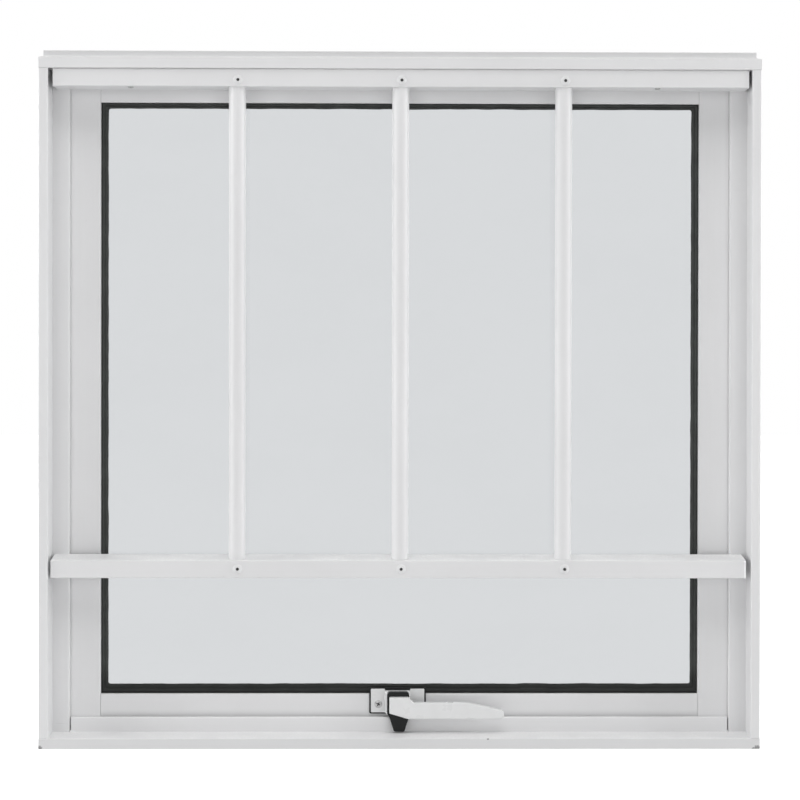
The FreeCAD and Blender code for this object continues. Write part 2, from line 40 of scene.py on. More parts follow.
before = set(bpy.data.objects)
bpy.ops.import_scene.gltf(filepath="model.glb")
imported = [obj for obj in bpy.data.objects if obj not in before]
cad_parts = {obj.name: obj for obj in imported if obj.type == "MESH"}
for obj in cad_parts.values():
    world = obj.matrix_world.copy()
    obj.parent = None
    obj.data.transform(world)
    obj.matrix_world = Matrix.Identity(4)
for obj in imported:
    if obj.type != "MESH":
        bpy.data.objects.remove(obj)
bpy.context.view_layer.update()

FRAME_UPRIGHT = ["left_jamb", "right_jamb"]
SASH_UPRIGHT = ["sash_left_stile", "sash_right_stile"]
GRILLE_RAILS = ["grille_head_rail", "grille_lower_rail"]
GRILLE_BARS = ["grille_bar_left", "grille_bar_middle", "grille_bar_right"]
GASKETS = ["gasket_bottom", "gasket_right", "gasket_top", "gasket_left"]
SEALS = ["seal_left", "seal_right", "seal_bottom", "seal_top"]
STAYS = [
    f"stay_{piece}_{side}"
    for side in ("left", "right")
    for piece in ("track", "sash_plate", "long_arm", "short_arm")
]

MM = 0.001

# Dark spots on the sill's lip: the end, the distance from it, the height and the radius.
DARK_SPOTS = [
    ("left", 1.2 * MM, 0.9 * MM, 2.6 * MM),
    ("right", 2.2 * MM, 0.8 * MM, 3.0 * MM),
    ("right", 5.4 * MM, 0.5 * MM, 1.5 * MM),
    ("right", 226.6 * MM, 8.4 * MM, 1.1 * MM),
]
# Painted shade greys the header's coat from this far below its fin's top to this far above it.
FIN_SHADE_DEPTH = 5.1 * MM
FIN_SHADE_END = 1.5 * MM
# Height of the shade that gathers at the foot of the sash, above the sill.
FOOT_SHADE = 6.0 * MM
# The sill's coat is paler than the rest of the frame's by this factor, as painted light on the
# sill.
SILL_PALER = 1.045

# Half the width of the line where two members meet.
SEAM_HALF_WIDTH = 0.22 * MM
# A pale, partly metallic band begins and is full this far from a member's left end and from its
# right end.
LEFT_END_BAND = (0.2 * MM, 0.05 * MM)
RIGHT_END_BAND = (1.3 * MM, 0.9 * MM)
# Index of refraction of the glass and the coat, and the sheen of rubber and nylon.
REFRACTION = 1.5
MATT_SPECULAR = 0.22
# Height above the gasket's foot over which its painted shade gives way and its bloom sets in.
BLOOM_RISE = 20 * MM

# Steps round the rivets and screws.
TURNED_STEPS = 32
# Turn of the handle's screws, in degrees, and the width and depth of their cross.
SCREW_TURN = 28
CROSS_WIDTH = 1.3 * MM
CROSS_DEPTH = 0.9 * MM
# How far the rail's screws stand behind the rail's room face.
RAIL_SCREW_SETBACK = 5.0 * MM

# Each lamp's name, place, width, height and power setting. All face LAMP_TARGET.
LAMPS = [
    ("top_lamp", (0, -1.2, 2.5), 2.0, 1.4, "top_power"),
    ("front_right_lamp", (1.2, -2.8, 0.5), 0.9, 1.4, "front_power"),
    ("front_left_lamp", (-1.2, -2.8, 0.5), 0.9, 1.4, "front_power"),
    ("right_lamp", (2.4, -0.3, 0.6), 1.2, 2.2, "right_power"),
    ("left_lamp", (-2.4, -0.3, 0.6), 1.2, 2.2, "left_power"),
    ("back_right_lamp", (1.9, 2.0, 0.9), 1.2, 1.2, "back_power"),
    ("back_left_lamp", (-1.9, 2.0, 0.9), 1.2, 1.2, "back_power"),
]
LAMP_TARGET = (0, 0, 0.29)
# The floor lies this far below the window.
FLOOR_DROP = 0.2 * MM
# Glow that makes the far floor white to the camera and leaves the shadow.
FLOOR_WHITE = 0.90


# Settings


def colour_setting(name, description, default):
    """A colour in the sidebar."""
    return bpy.props.FloatVectorProperty(
        name=name, description=description, default=default, subtype="COLOR", min=0, max=1
    )


def length_setting(name, description, default, least=-10.0):
    """A length in the sidebar, in metres."""
    return bpy.props.FloatProperty(
        name=name, description=description, default=default, min=least, unit="LENGTH"
    )


def number_setting(name, description, default):
    """A plain number in the sidebar."""
    return bpy.props.FloatProperty(name=name, description=description, default=default)


def count_setting(name, description, default, least):
    """A whole number in the sidebar."""
    return bpy.props.IntProperty(name=name, description=description, default=default, min=least)


class WINDOW_PG_finish(bpy.types.PropertyGroup):
    """Colours and gloss of the window's finishes."""

    paint_colour: colour_setting(
        "Paint", "White powder coat of the frame, sash and grille", (0.764, 0.764, 0.771)
    )
    cast_colour: colour_setting(
        "Cast Paint", "White coat of the handle's plate and lever", (0.752, 0.755, 0.757)
    )
    # Dust and painted light: this colour, paler than the paint, brightens the faces that look up.
    dust_and_top_light_colour: colour_setting(
        "Dust", "Pale dust that settles on the level faces", (0.93, 0.93, 0.92)
    )
    glass_colour: colour_setting("Glass", "Tint of the pane", (0.674, 0.690, 0.705))
    rubber_colour: colour_setting(
        "Gasket", "Black rubber of the glazing gasket", (0.040, 0.043, 0.041)
    )
    seal_colour: colour_setting("Seal", "Grey rubber of the weather seal", (0.10, 0.10, 0.10))
    nylon_colour: colour_setting(
        "Nylon", "Black nylon of the catch and the pad under the handle", (0.008, 0.009, 0.009)
    )
    steel_colour: colour_setting("Steel", "Brushed steel of the stays", (0.60, 0.60, 0.58))
    # A pale, partly metallic band at the lower rail's ends, wide at its right end.
    end_band_colour: colour_setting("Bare Metal", "Bare aluminium at the sawn ends", (0.93, 0.93, 0.94))
    peel_size: length_setting(
        "Peel Size", "Distance between the bumps of the powder coat", 1.3 * MM, 0.1 * MM
    )


class WINDOW_PG_gasket(bpy.types.PropertyGroup):
    """Sizes of the glazing gasket's lips."""

    wave: length_setting("Wave", "How far the lip's free edge wanders", 0.4 * MM, 0)
    wave_length: length_setting(
        "Wave Length", "Distance over which the free edge wanders", 16 * MM, 1 * MM
    )
    corner_round: length_setting(
        "Corner Radius", "Radius of the lip's free edge in the corners", 1.8 * MM, 0
    )
    stations: count_setting("Stations", "Steps along each side", 220, 8)


class WINDOW_PG_fasteners(bpy.types.PropertyGroup):
    """Sizes of the rivets and screws."""

    rivet_head: length_setting("Rivet Head", "Diameter of a blind rivet's head", 8.0 * MM)
    rivet_rise: length_setting("Rivet Rise", "Height of a blind rivet's head", 1.3 * MM)
    rivet_bore: length_setting(
        "Rivet Bore", "Diameter of the hole that the mandrel leaves", 2.3 * MM
    )
    rivet_shift: length_setting(
        "Rivet Shift", "Distance of the rivets to the right of their bar's middle", 0.9 * MM
    )
    head_rivet_level: length_setting(
        "Head Rivet Level", "Height of the rivets above the head rail's foot", 5.5 * MM
    )
    lower_rivet_level: length_setting(
        "Lower Rivet Level", "Height of the rivets above the lower rail's foot", 7.6 * MM
    )
    screw_head: length_setting(
        "Screw Head", "Diameter of the head of a screw in the handle's plate", 6.8 * MM
    )
    rail_screw_head: length_setting(
        "Rail Screw Head", "Diameter of the head of a screw under the head rail", 4.6 * MM
    )
    recess_span: length_setting(
        "Recess Span", "Width of the cross recess in a screw's head", 4.2 * MM
    )
    rail_screw_left: length_setting(
        "Left Rail Screw", "Place along the head rail of its left screw", -224.4 * MM
    )
    rail_screw_right: length_setting(
        "Right Rail Screw", "Place along the head rail of its right screw", 214.0 * MM
    )
    handle_screw_x: length_setting(
        "Handle Screw Place", "Distance of the handle's screws from its middle", 16.2 * MM
    )
    left_screw_rise: length_setting(
        "Left Screw Height", "Height of the left screw above the bridge's foot", 8.7 * MM
    )
    right_screw_rise: length_setting(
        "Right Screw Height", "Height of the right screw above the bridge's foot", 5.7 * MM
    )
    handle_plate: length_setting("Handle Plate", "Thickness of the handle's plate", 1.8 * MM)


class WINDOW_PG_stage(bpy.types.PropertyGroup):
    """The camera, floor and light."""

    camera_distance: length_setting(
        "Camera Distance", "From the frame's room face to the camera", 1.900
    )
    camera_height: length_setting(
        "Camera Height", "Height of the camera above the sill's foot", 0.3316
    )
    camera_side: length_setting(
        "Camera Side", "Distance of the camera to the right of the window's middle", -13.8 * MM
    )
    lens: number_setting("Lens", "Focal length in millimetres", 103.0)
    tilt: number_setting("Tilt", "How far the camera looks down, in degrees", 0.49)
    turn: number_setting("Turn", "How far the camera looks to the right, in degrees", 0.73)
    roll: number_setting("Roll", "How far the picture leans clockwise, in degrees", 0.10)
    shift_across: number_setting("Shift Across", "Level shift of the camera", -0.0162)
    shift: number_setting("Shift", "Vertical shift of the camera", -0.0376)
    floor_size: length_setting("Floor Size", "Side of the square floor", 14.0)
    world_light: number_setting("World Light", "Strength of the even light all round", 0.16)
    top_power: number_setting("Top Light", "Power of the lamp above the window, in watts", 24.5)
    front_power: number_setting(
        "Front Light", "Power of each of the two lamps beside the camera, in watts", 7.3
    )
    right_power: number_setting("Right Light", "Power of the lamp on the right, in watts", 46.0)
    left_power: number_setting("Left Light", "Power of the lamp on the left, in watts", 46.0)
    back_power: number_setting(
        "Back Light", "Power of each of the two lamps behind the window, in watts", 10.0
    )
    floor_glow: number_setting(
        "Floor Glow", "Strength of the light that the floor gives the window", 0.22
    )


# Shared effects


def make_group(name, inputs, outputs):
    """A shader group with its sockets, its input node and its output node."""
    tree = bpy.data.node_groups.new(name, "ShaderNodeTree")
    for label, kind, value in inputs:
        socket = tree.interface.new_socket(label, in_out="INPUT", socket_type=kind)
        if value is not None:
            socket.default_value = value
    for label, kind in outputs:
        tree.interface.new_socket(label, in_out="OUTPUT", socket_type=kind)
    return tree, tree.nodes.new("NodeGroupInput"), tree.nodes.new("NodeGroupOutput")


def feed(tree, socket, value):
    """Gives a socket a number, a colour or another node's output."""
    if isinstance(value, bpy.types.NodeSocket):
        tree.links.new(value, socket)
    else:
        socket.default_value = value


def math_node(tree, operation, *values):
    """A Math node, whose values are numbers or sockets."""
    node = tree.nodes.new("ShaderNodeMath")
    node.operation = operation
    for socket, value in zip(node.inputs, values):
        feed(tree, socket, value)
    return node.outputs[0]


def times(tree, value, factor):
    """The product of two values."""
    return math_node(tree, "MULTIPLY", value, factor)


def ramp(tree, value, low, high, low_out=0.0, high_out=1.0):
    """A clamped, smooth remap of a value."""
    node = tree.nodes.new("ShaderNodeMapRange")
    node.interpolation_type = "SMOOTHSTEP"
    tree.links.new(value, node.inputs["Value"])
    limits = {"From Min": low, "From Max": high, "To Min": low_out, "To Max": high_out}
    for label, number in limits.items():
        feed(tree, node.inputs[label], number)
    return node.outputs["Result"]


def noise_value(tree, vector, scale, detail=2.0, roughness=0.5):
    """A noise pattern's value."""
    node = tree.nodes.new("ShaderNodeTexNoise")
    tree.links.new(vector, node.inputs["Vector"])
    feed(tree, node.inputs["Scale"], scale)
    node.inputs["Detail"].default_value = detail
    node.inputs["Roughness"].default_value = roughness
    return node.outputs["Fac"]


def parts_of(tree, vector):
    """The X, Y and Z of a vector."""
    node = tree.nodes.new("ShaderNodeSeparateXYZ")
    tree.links.new(vector, node.inputs[0])
    return node.outputs


def mapped(tree, vector, scale):
    """The vector, stretched."""
    node = tree.nodes.new("ShaderNodeMapping")
    node.inputs["Scale"].default_value = scale
    tree.links.new(vector, node.inputs["Vector"])
    return node.outputs["Vector"]


def mixed(tree, factor, first, second):
    """A colour mix, whose factor is a socket or a number and whose colours are either."""
    node = tree.nodes.new("ShaderNodeMix")
    node.data_type = "RGBA"
    for key, value in (("Factor", factor), (6, first), (7, second)):
        feed(tree, node.inputs[key], value)
    return node.outputs[2]


def any_ray(tree, *kinds):
    """A mask of the rays of these kinds."""
    ray = tree.nodes.new("ShaderNodeLightPath")
    seen = ray.outputs[kinds[0]]
    for kind in kinds[1:]:
        seen = math_node(tree, "MAXIMUM", seen, ray.outputs[kind])
    return seen


def rgba(colour, share=1.0):
    """A colour for a socket, times a share that darkens or lightens it."""
    return (*[value * share for value in colour[:3]], 1.0)


def grey(tone):
    return (tone, tone, tone, 1.0)


def build_peel_group():
    """The shallow bumps of a powder coat."""
    tree, start, end = make_group(
        "Powder Coat Peel",
        [("Vector", "NodeSocketVector", None), ("Scale", "NodeSocketFloat", 800.0)],
        [("Height", "NodeSocketFloat")],
    )
    coarse = noise_value(tree, start.outputs["Vector"], start.outputs["Scale"], 1.0)
    finer = times(tree, start.outputs["Scale"], 3.1)
    fine = noise_value(tree, start.outputs["Vector"], finer, 0.0)
    small = times(tree, fine, 0.25)
    tree.links.new(math_node(tree, "ADD", coarse, small), end.inputs["Height"])
    return tree


def build_die_group():
    """Faint lines along an extrusion, from a vector that is stretched along the length."""
    tree, start, end = make_group(
        "Extrusion Lines",
        [("Vector", "NodeSocketVector", None), ("Scale", "NodeSocketFloat", 500.0)],
        [("Lines", "NodeSocketFloat")],
    )
    broad = noise_value(tree, start.outputs["Vector"], start.outputs["Scale"], 3.0, 0.65)
    tree.links.new(ramp(tree, broad, 0.3, 0.7), end.inputs["Lines"])
    return tree


def build_dust_and_top_light_group():
    """Dust and painted light from above on faces that look up, in soft patches."""
    tree, start, end = make_group(
        "Settled Dust",
        [("Vector", "NodeSocketVector", None), ("Amount", "NodeSocketFloat", 0.5)],
        [("Mask", "NodeSocketFloat")],
    )
    geometry = tree.nodes.new("ShaderNodeNewGeometry")
    normal = parts_of(tree, geometry.outputs["True Normal"])
    upward = ramp(tree, normal["Z"], 0.35, 1.0)
    patches = noise_value(tree, start.outputs["Vector"], 34.0, 4.0, 0.6)
    specks = noise_value(tree, start.outputs["Vector"], 620.0, 2.0, 0.6)
    soft = ramp(tree, patches, 0.32, 0.68, 0.35, 1.0)
    grains = ramp(tree, specks, 0.45, 0.7, 0.4, 1.0)
    mask = times(tree, soft, grains)
    mask = times(tree, mask, upward)
    mask = times(tree, mask, start.outputs["Amount"])
    tree.links.new(mask, end.inputs["Mask"])
    return tree


def build_scuff_group():
    """Sparse hairline rubs and specks left by handling."""
    tree, start, end = make_group(
        "Handling Marks",
        [("Vector", "NodeSocketVector", None), ("Amount", "NodeSocketFloat", 0.5)],
        [("Mask", "NodeSocketFloat")],
    )
    vector = start.outputs["Vector"]
    specks = ramp(tree, noise_value(tree, vector, 260.0, 3.0, 0.7), 0.70, 0.78)
    rubs = noise_value(tree, mapped(tree, vector, (30, 400, 900)), 1.0, 2.0, 0.6)
    hair = ramp(tree, rubs, 0.70, 0.80)
    place = ramp(tree, noise_value(tree, vector, 9.0, 2.0), 0.5, 0.62)
    both = math_node(tree, "MAXIMUM", specks, times(tree, hair, place))
    mask = times(tree, both, start.outputs["Amount"])
    tree.links.new(mask, end.inputs["Mask"])
    return tree


def build_line_group():
    """A thin level or upright line, as where two members meet."""
    tree, start, end = make_group(
        "Joint Line",
        [
            ("Coordinate", "NodeSocketFloat", 0.0),
            ("Place", "NodeSocketFloat", 0.0),
            ("Half Width", "NodeSocketFloat", 0.0003),
        ],
        [("Mask", "NodeSocketFloat")],
    )
    off = math_node(tree, "SUBTRACT", start.outputs["Coordinate"], start.outputs["Place"])
    off = math_node(tree, "ABSOLUTE", off)
    wide = times(tree, start.outputs["Half Width"], 2.0)
    mask = ramp(tree, off, start.outputs["Half Width"], wide, 1.0, 0.0)
    tree.links.new(mask, end.inputs["Mask"])
    return tree


def build_spot_group():
    """A small uneven dark spot about a point."""
    tree, start, end = make_group(
        "Grime Spot",
        [
            ("Vector", "NodeSocketVector", None),
            ("Centre", "NodeSocketVector", None),
            ("Radius", "NodeSocketFloat", 0.002),
        ],
        [("Mask", "NodeSocketFloat")],
    )
    gap = tree.nodes.new("ShaderNodeVectorMath")
    gap.operation = "DISTANCE"
    tree.links.new(start.outputs["Vector"], gap.inputs[0])
    tree.links.new(start.outputs["Centre"], gap.inputs[1])
    ragged = noise_value(tree, start.outputs["Vector"], 900.0, 3.0, 0.6)
    reach = times(tree, start.outputs["Radius"], ragged)
    reach = times(tree, reach, 2.0)
    inner = times(tree, reach, 0.5)
    mask = ramp(tree, gap.outputs["Value"], inner, reach, 1.0, 0.0)
    tree.links.new(mask, end.inputs["Mask"])
    return tree


def build_grain_group():
    """The fine grain of moulded rubber or plastic, and the pale bloom on it."""
    tree, start, end = make_group(
        "Moulded Grain",
        [("Vector", "NodeSocketVector", None), ("Scale", "NodeSocketFloat", 1500.0)],
        [("Height", "NodeSocketFloat"), ("Bloom", "NodeSocketFloat")],
    )
    grain = noise_value(tree, start.outputs["Vector"], start.outputs["Scale"], 2.0, 0.6)
    cloud = noise_value(tree, start.outputs["Vector"], 55.0, 4.0, 0.65)
    tree.links.new(grain, end.inputs["Height"])
    tree.links.new(ramp(tree, cloud, 0.40, 0.72), end.inputs["Bloom"])
    return tree


EFFECTS = {
    "peel": build_peel_group,
    "die": build_die_group,
    "dust_and_top_light": build_dust_and_top_light_group,
    "scuff": build_scuff_group,
    "line": build_line_group,
    "spot": build_spot_group,
    "grain": build_grain_group,
}
_built = {}


def effect(tree, key, vector=None, **values):
    """A shared effect placed in a material, with its own values."""
    if key not in _built:
        _built[key] = EFFECTS[key]()
    node = tree.nodes.new("ShaderNodeGroup")
    node.node_tree = _built[key]
    if vector is not None:
        tree.links.new(vector, node.inputs["Vector"])
    for label, value in values.items():
        feed(tree, node.inputs[label.replace("_", " ")], value)
    return node


# Materials


def new_material(name):
    """A material, its tree, its Principled shader and its Object coordinates."""
    material = bpy.data.materials.new(name)
    material.use_nodes = True
    tree = material.node_tree
    place = tree.nodes.new("ShaderNodeTexCoord")
    return material, tree, tree.nodes["Principled BSDF"], place.outputs["Object"]


def add_bump(tree, shader, height, distance, strength):
    bump = tree.nodes.new("ShaderNodeBump")
    bump.inputs["Strength"].default_value = strength
    bump.inputs["Distance"].default_value = distance
    tree.links.new(height, bump.inputs["Height"])
    tree.links.new(bump.outputs["Normal"], shader.inputs["Normal"])


def powder_coat(
    name,
    axis,
    colour,
    settings,
    joints=(),
    joint_tone=0.25,
    spots=(),
    pale_end_bands=None,
    fade=None,
    dust_and_top_light=0.8,
):
    """White powder coat on an extrusion that runs along an axis.

    joints are (axis, place) of the butt lines and spots are (centre, radius) of dark spots.
    pale_end_bands is (left end, right end) of a member whose ends get a pale, partly metallic band,
    narrow at the left end and wide at the right. fade is (unshaded height, fully shaded height,
    strength) of a painted shade that greys the coat.
    """
    material, tree, shader, place = new_material(name)
    across, _, height = parts_of(tree, place)
    stretch = {"X": (0.02, 1, 1), "Z": (1, 1, 0.02)}[axis]
    peel = effect(tree, "peel", place, Scale=1.0 / settings.peel_size)
    die = effect(tree, "die", mapped(tree, place, stretch), Scale=420.0)
    dust_and_top_light_mask = effect(tree, "dust_and_top_light", place, Amount=dust_and_top_light)
    scuffs = effect(tree, "scuff", place, Amount=0.5)
    shade = noise_value(tree, place, 5.0, 3.0, 0.55)
    base = rgba(colour)
    deeper = rgba(colour, 0.955)
    tone = mixed(tree, ramp(tree, shade, 0.3, 0.7), base, deeper)
    lined = mixed(tree, times(tree, die.outputs["Lines"], 0.05), tone, grey(0.62))
    if fade is not None:
        # Painted shade: the coat darkens between these two heights.
        unshaded, full, strength = fade
        painted_shade = ramp(tree, height, unshaded, full, 0.0, strength)
        lined = mixed(tree, painted_shade, lined, rgba(colour, 0.72))
    # Pale dust on the faces that look up: real dust and painted light from above.
    dust_and_top_lit = mixed(tree, dust_and_top_light_mask.outputs["Mask"], lined, rgba(settings.dust_and_top_light_colour))
    worn = mixed(tree, times(tree, scuffs.outputs["Mask"], 0.35), dust_and_top_lit, rgba((0.42, 0.41, 0.40)))
    for joint_axis, joint_place in joints:
        line = effect(
            tree,
            "line",
            None,
            Coordinate={"X": across, "Z": height}[joint_axis],
            Place=joint_place,
            Half_Width=SEAM_HALF_WIDTH,
        )
        seam = times(tree, line.outputs["Mask"], joint_tone)
        worn = mixed(tree, seam, worn, grey(0.16))
    for centre, radius in spots:
        spot = effect(tree, "spot", place, Centre=centre, Radius=radius)
        darkening = times(tree, spot.outputs["Mask"], 0.7)
        worn = mixed(tree, darkening, worn, grey(0.10))
    end_band = None
    if pale_end_bands is not None:
        low, high = pale_end_bands
        end_band = math_node(
            tree,
            "MAXIMUM",
            ramp(tree, across, *[low + inset for inset in LEFT_END_BAND]),
            ramp(tree, across, *[high - inset for inset in RIGHT_END_BAND]),
        )
        worn = mixed(tree, end_band, worn, rgba(settings.end_band_colour))
    tree.links.new(worn, shader.inputs["Base Color"])
    rough = ramp(tree, shade, 0.25, 0.75, 0.33, 0.41)
    rough = math_node(tree, "ADD", rough, times(tree, dust_and_top_light_mask.outputs["Mask"], 0.35))
    rough = math_node(tree, "ADD", rough, times(tree, scuffs.outputs["Mask"], 0.12))
    tree.links.new(rough, shader.inputs["Roughness"])
    if end_band is not None:
        tree.links.new(times(tree, end_band, 0.3), shader.inputs["Metallic"])
    shader.inputs["IOR"].default_value = REFRACTION
    surface = math_node(tree, "ADD", peel.outputs["Height"], times(tree, die.outputs["Lines"], 0.3))
    add_bump(tree, shader, surface, 0.03 * MM, 0.55)
    return material


def cast_coat(name, settings):
    """The smoother white coat on the handle's castings, with faint handling marks."""
    material, tree, shader, place = new_material(name)
    peel = effect(tree, "peel", place, Scale=620.0)
    dust_and_top_light_mask = effect(tree, "dust_and_top_light", place, Amount=0.1)
    scuffs = effect(tree, "scuff", place, Amount=0.3)
    shade = noise_value(tree, place, 60.0, 3.0, 0.6)
    colour = settings.cast_colour
    deeper = rgba(colour, 0.97)
    tone = mixed(tree, ramp(tree, shade, 0.35, 0.7), rgba(colour), deeper)
    # Pale dust on the faces that look up: real dust and painted light from above.
    dust_and_top_lit = mixed(tree, dust_and_top_light_mask.outputs["Mask"], tone, rgba(settings.dust_and_top_light_colour))
    worn = mixed(tree, times(tree, scuffs.outputs["Mask"], 0.4), dust_and_top_lit, rgba((0.38, 0.38, 0.37)))
    tree.links.new(worn, shader.inputs["Base Color"])
    rough = ramp(tree, shade, 0.3, 0.7, 0.26, 0.36)
    rough = math_node(tree, "ADD", rough, times(tree, scuffs.outputs["Mask"], 0.15))
    tree.links.new(rough, shader.inputs["Roughness"])
    shader.inputs["Coat Weight"].default_value = 0.25
    shader.inputs["Coat Roughness"].default_value = 0.18
    add_bump(tree, shader, peel.outputs["Height"], 0.05 * MM, 0.5)
    return material


def float_glass(settings):
    """Clear float glass with faint smears. Its shadow lets the light through."""
    material, tree, shader, place = new_material("clear_float_glass")
    smear = noise_value(tree, mapped(tree, place, (6, 1, 14)), 1.0, 4.0, 0.6)
    film = ramp(tree, smear, 0.35, 0.75)
    colour = settings.glass_colour
    tint = mixed(tree, film, rgba(colour), rgba(colour, 0.985))
    tree.links.new(tint, shader.inputs["Base Color"])
    tree.links.new(ramp(tree, smear, 0.4, 0.8, 0.0, 0.045), shader.inputs["Roughness"])
    shader.inputs["Transmission Weight"].default_value = 1.0
    shader.inputs["IOR"].default_value = REFRACTION
    clear = tree.nodes.new("ShaderNodeBsdfTransparent")
    clear.inputs["Color"].default_value = rgba((0.88, 0.89, 0.89))
    blend = tree.nodes.new("ShaderNodeMixShader")
    tree.links.new(any_ray(tree, "Is Shadow Ray"), blend.inputs["Fac"])
    tree.links.new(shader.outputs["BSDF"], blend.inputs[1])
    tree.links.new(clear.outputs["BSDF"], blend.inputs[2])
    tree.links.new(blend.outputs["Shader"], tree.nodes["Material Output"].inputs["Surface"])
    return material


def rubber(name, colour, bloom_colour, bloom, roughness, dark_foot=None):
    """Matt rubber with a grain and a pale bloom, and painted shade that makes it blacker up to the
    height dark_foot.
    """
    material, tree, shader, place = new_material(name)
    grain = effect(tree, "grain", place, Scale=1400.0)
    dust_and_top_light_mask = effect(tree, "dust_and_top_light", place, Amount=0.08)
    base = rgba(colour)
    amount = times(tree, grain.outputs["Bloom"], bloom)
    if dark_foot is not None:
        # Painted shade: the rubber is blacker towards its foot.
        above = ramp(tree, parts_of(tree, place)["Z"], dark_foot, dark_foot + BLOOM_RISE)
        base = mixed(tree, above, rgba(colour, 0.42), base)
        amount = times(tree, amount, above)
    tone = mixed(tree, amount, base, rgba(bloom_colour))
    # Pale dust on the faces that look up: real dust and painted light from above.
    dust_and_top_lit = mixed(tree, dust_and_top_light_mask.outputs["Mask"], tone, rgba((0.22, 0.215, 0.205)))
    tree.links.new(dust_and_top_lit, shader.inputs["Base Color"])
    tree.links.new(
        ramp(tree, grain.outputs["Bloom"], 0.0, 1.0, roughness, roughness + 0.14),
        shader.inputs["Roughness"],
    )
    shader.inputs["Specular IOR Level"].default_value = MATT_SPECULAR
    add_bump(tree, shader, grain.outputs["Height"], 0.06 * MM, 0.6)
    return material


def moulded_nylon(settings):
    """Black nylon with a fine spark texture and a little wear."""
    material, tree, shader, place = new_material("black_moulded_nylon")
    grain = effect(tree, "grain", place, Scale=2600.0)
    scuffs = effect(tree, "scuff", place, Amount=0.7)
    tone = mixed(
        tree,
        times(tree, grain.outputs["Bloom"], 0.5),
        rgba(settings.nylon_colour),
        rgba((0.02, 0.021, 0.022)),
    )
    worn = mixed(tree, times(tree, scuffs.outputs["Mask"], 0.5), tone, grey(0.12))
    tree.links.new(worn, shader.inputs["Base Color"])
    shader.inputs["Specular IOR Level"].default_value = MATT_SPECULAR
    tree.links.new(
        ramp(tree, grain.outputs["Bloom"], 0.0, 1.0, 0.36, 0.5), shader.inputs["Roughness"]
    )
    add_bump(tree, shader, grain.outputs["Height"], 0.04 * MM, 0.6)
    return material


def brushed_steel(name, colour, stretch, roughness):
    """Steel with brush lines along its length and a few stains."""
    material, tree, shader, place = new_material(name)
    brush = effect(tree, "die", mapped(tree, place, stretch), Scale=1900.0)
    cloud = noise_value(tree, place, 28.0, 4.0, 0.6)
    darker = rgba(colour, 0.78)
    lines = times(tree, brush.outputs["Lines"], 0.5)
    tone = mixed(tree, lines, rgba(colour), darker)
    stained = mixed(tree, ramp(tree, cloud, 0.55, 0.8, 0.0, 0.35), tone, rgba((0.34, 0.33, 0.31)))
    tree.links.new(stained, shader.inputs["Base Color"])
    shader.inputs["Metallic"].default_value = 1.0
    rough = ramp(tree, brush.outputs["Lines"], 0.0, 1.0, roughness, roughness + 0.14)
    tree.links.new(
        math_node(tree, "ADD", rough, ramp(tree, cloud, 0.5, 0.8, 0.0, 0.12)),
        shader.inputs["Roughness"],
    )
    add_bump(tree, shader, brush.outputs["Lines"], 0.012 * MM, 0.6)
    return material


def zinc_plate(name, tone):
    """Plated steel of the screws, mottled grey, which at a near-black tone is painted shade in the
    rivets' bores and the screws' recesses.
    """
    material, tree, shader, place = new_material(name)
    spangle = noise_value(tree, place, 1400.0, 3.0, 0.6)
    stain = noise_value(tree, place, 420.0, 3.0, 0.6)
    colour = mixed(tree, ramp(tree, spangle, 0.35, 0.65), grey(tone), grey(tone * 0.72))
    darkening = ramp(tree, stain, 0.5, 0.75, 0.0, 0.5)
    dirty = mixed(tree, darkening, colour, rgba((0.10, 0.10, 0.09)))
    tree.links.new(dirty, shader.inputs["Base Color"])
    shader.inputs["Metallic"].default_value = 0.85
    tree.links.new(ramp(tree, stain, 0.35, 0.7, 0.34, 0.55), shader.inputs["Roughness"])
    add_bump(tree, shader, spangle, 0.02 * MM, 0.5)
    return material


def dress(names, material):
    """Gives CAD nodes a material in every one of their material slots."""
    for name in names:
        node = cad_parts[name]
        if not node.data.materials:
            node.data.materials.append(material)
        for index in range(len(node.data.materials)):
            node.data.materials[index] = material


# Pieces


def add_object(bm, name):
    """The shape as an object of the scene."""
    mesh = bpy.data.meshes.new(name)
    bm.to_mesh(mesh)
    bm.free()
    made = bpy.data.objects.new(name, mesh)
    bpy.context.scene.collection.objects.link(made)
    return made


def put(bm, name, material, matrix=None, smooth=35.0):
    """Makes the mesh an object that rides on the window, placed by a matrix."""
    if matrix is not None:
        bmesh.ops.transform(bm, matrix=matrix, verts=bm.verts)
    bmesh.ops.remove_doubles(bm, verts=bm.verts, dist=0.5e-6)
    bmesh.ops.recalc_face_normals(bm, faces=bm.faces)
    piece = add_object(bm, name)
    piece.data.shade_smooth()
    piece.data.set_sharp_from_angle(angle=math.radians(smooth))
    for each in material if isinstance(material, list) else [material]:
        piece.data.materials.append(each)
    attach(piece, "window")
    return piece


def turned(bm, profile):
    """A closed shape turned about Z, from (radius, height) points off and on the axis."""
    points = [bm.verts.new((radius, 0, height)) for radius, height in profile]
    edges = [bm.edges.new(pair) for pair in zip(points, points[1:])]
    bmesh.ops.spin(
        bm,
        geom=points + edges,
        cent=(0, 0, 0),
        axis=(0, 0, 1),
        angle=math.tau,
        steps=TURNED_STEPS,
        use_merge=True,
    )
    bmesh.ops.remove_doubles(bm, verts=bm.verts, dist=1e-6)


def facing_room(point):
    """The matrix that stands a shape turned about Z at a point, its head to the room."""
    return Matrix.Translation(point) @ Matrix.Rotation(math.radians(90), 4, "X")


def facing_down(point):
    """The matrix that hangs a shape turned about Z at a point, its head down."""
    return Matrix.Translation(point) @ Matrix.Rotation(math.radians(180), 4, "X")


